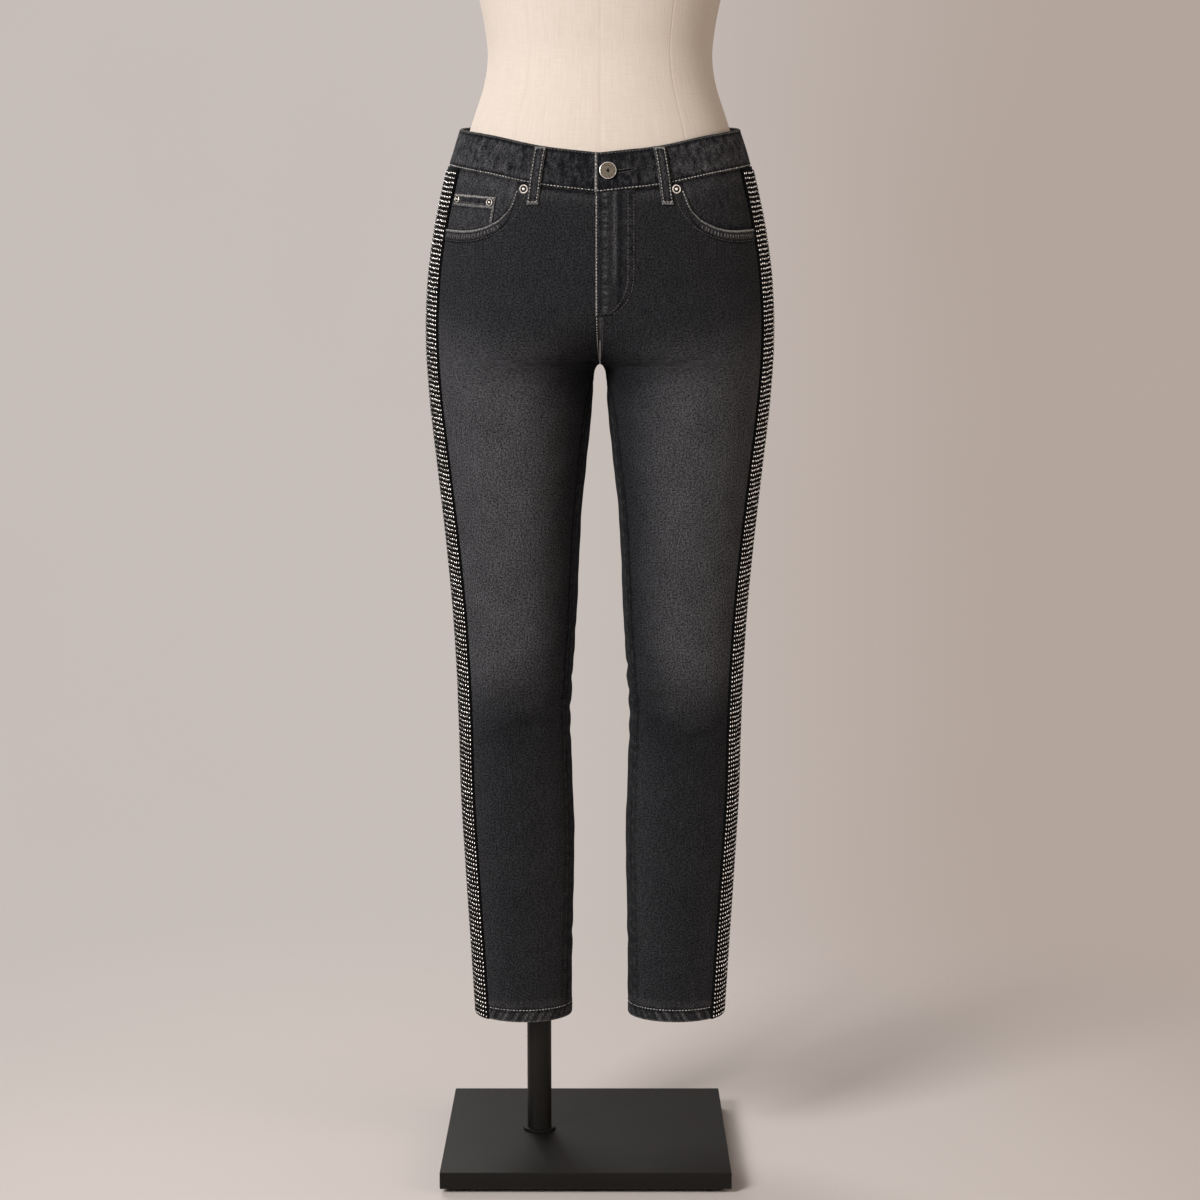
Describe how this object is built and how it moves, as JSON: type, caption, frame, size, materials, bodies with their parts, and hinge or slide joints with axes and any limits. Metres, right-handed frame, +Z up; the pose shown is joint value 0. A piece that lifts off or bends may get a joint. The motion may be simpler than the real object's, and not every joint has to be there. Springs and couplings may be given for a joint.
{
  "type": "skinny jeans on a dress form and stand",
  "caption": "Washed black skinny jeans with beaded side strips, filled out on a limbless linen dress form on a post and square base plate.",
  "frame": {"origin": "on the floor under the four feet, midway across the jeans and midway along the base plate", "axes": "+Z up, +X to the wearer's left, -Y the front of the jeans"},
  "size_m": [0.3548, 0.293, 1.225],
  "materials": {
    "denim": "washed black stretch denim twill, dry and matt, faded on the thighs",
    "strip_tape": "black woven tape under rows of small faceted metal beads",
    "fasteners": "dark gunmetal, satin with bright rims",
    "form_linen": "fine cream linen stretched on a smooth form",
    "black_steel": "satin black powder coat",
    "foot_rubber": "matt black rubber"
  },
  "bodies": {
    "root": {"back_panel_left": "denim", "back_panel_right": "denim", "back_pocket_left": "denim", "back_pocket_right": "denim", "back_yoke_left": "denim", "back_yoke_right": "denim", "base_plate": "black_steel", "belt_loop_back_left": "denim", "belt_loop_back_middle": "denim", "belt_loop_back_right": "denim", "belt_loop_front_left": "denim", "belt_loop_front_right": "denim", "coin_pocket": "denim", "dress_form": "form_linen", "fly_flap": "denim", "front_panel_left": "denim", "front_panel_right": "denim", "hem_band_left": "denim", "hem_band_right": "denim", "pocket_facing_left": "denim", "pocket_facing_right": "denim", "post_collar": "black_steel", "rivet_coin_inner": "fasteners", "rivet_coin_outer": "fasteners", "rivet_pocket_left": "fasteners", "rivet_pocket_right": "fasteners", "side_strip_left": "strip_tape", "side_strip_right": "strip_tape", "stand_foot_1": "foot_rubber", "stand_foot_2": "foot_rubber", "stand_foot_3": "foot_rubber", "stand_foot_4": "foot_rubber", "stand_post": "black_steel", "waist_button": "fasteners", "waistband": "denim"}
  },
  "joints": []
}
